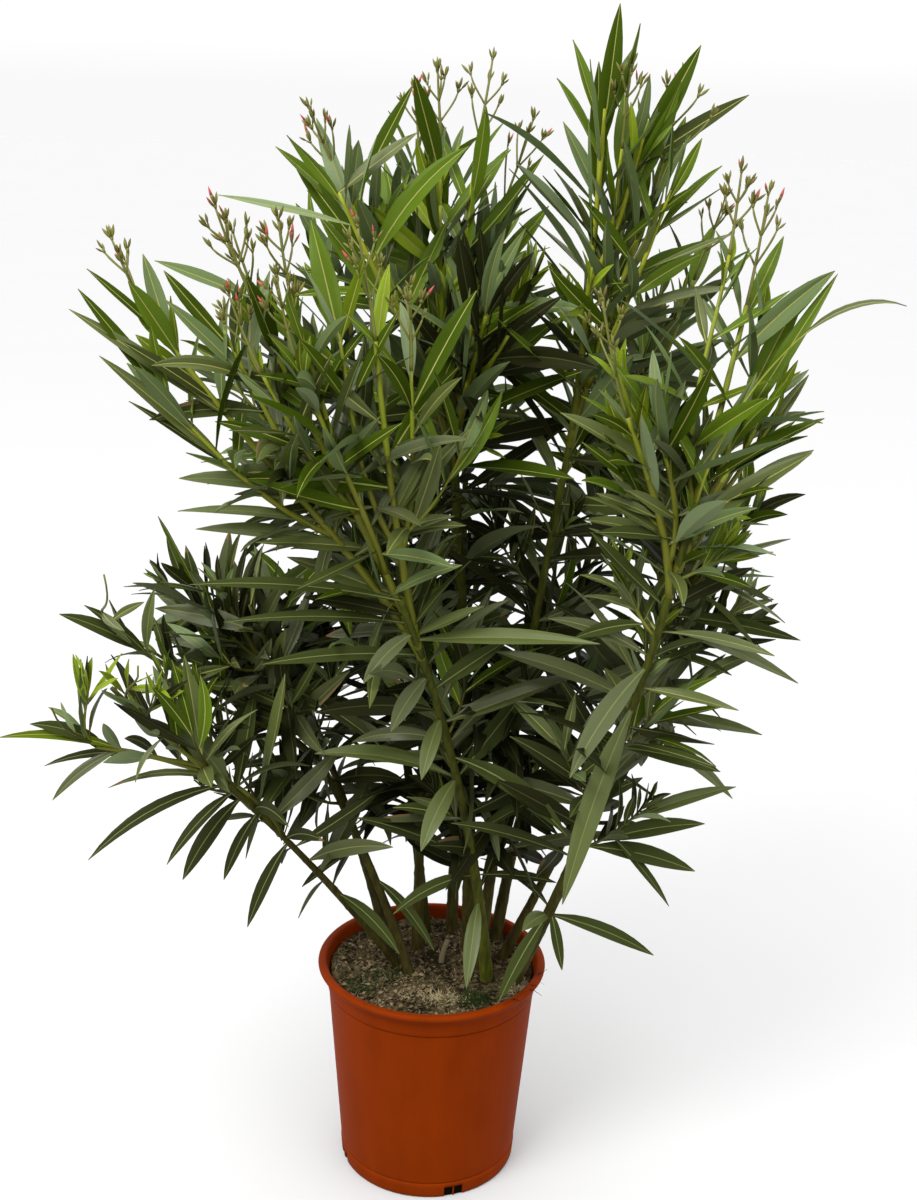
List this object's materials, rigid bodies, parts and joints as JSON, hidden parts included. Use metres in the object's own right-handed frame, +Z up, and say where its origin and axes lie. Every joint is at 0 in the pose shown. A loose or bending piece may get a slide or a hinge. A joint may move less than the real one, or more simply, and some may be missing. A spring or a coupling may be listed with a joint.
{
  "type": "potted oleander",
  "caption": "Bushy many-stemmed oleander shrub with narrow leaves and flower buds, growing in a round tapered nursery pot of soil; stands free on the pot's flat underside.",
  "frame": {"origin": "centre of the pot's flat underside, on the ground", "axes": "+Z up, along the pot's axis; -Y is the front of the plant, with the tall front stems; +X to its right"},
  "size_m": [0.9991, 0.7125, 1.48],
  "materials": {
    "pot_plastic": "satin",
    "potting_soil": "matte",
    "bark": "matte",
    "foliage": "satin"
  },
  "bodies": {
    "root": {"foliage_back": "foliage", "foliage_back_left": "foliage", "foliage_back_left_top": "foliage", "foliage_back_right": "foliage", "foliage_back_right_top": "foliage", "foliage_far_left": "foliage", "foliage_front_middle": "foliage", "foliage_front_right": "foliage", "foliage_left_back": "foliage", "foliage_left_middle": "foliage", "foliage_left_outer": "foliage", "foliage_low_left": "foliage", "foliage_low_left_inner": "foliage", "foliage_middle": "foliage", "foliage_right_front": "foliage", "foliage_right_low": "foliage", "foliage_right_middle": "foliage", "foliage_right_reach": "foliage", "foliage_right_upper": "foliage", "foliage_round_back": "foliage", "foliage_round_back_left": "foliage", "foliage_round_back_middle": "foliage", "foliage_round_back_right": "foliage", "foliage_round_front": "foliage", "foliage_round_left": "foliage", "foliage_round_left_back": "foliage", "foliage_round_left_low": "foliage", "foliage_round_middle": "foliage", "foliage_round_right": "foliage", "foliage_round_right_front": "foliage", "foliage_round_right_top": "foliage", "foliage_top_back_left": "foliage", "foliage_top_back_right": "foliage", "foliage_top_left": "foliage", "foliage_top_middle": "foliage", "foliage_top_right": "foliage", "foliage_top_right_outer": "foliage", "foliage_upper_left": "foliage", "pot": "pot_plastic", "soil": "potting_soil", "stem_back": "bark", "stem_back_left": "bark", "stem_back_middle": "bark", "stem_back_right": "bark", "stem_front": "bark", "stem_left": "bark", "stem_left_back": "bark", "stem_left_low": "bark", "stem_middle": "bark", "stem_right": "bark", "stem_right_front": "bark", "stem_right_top": "bark"}
  },
  "joints": []
}
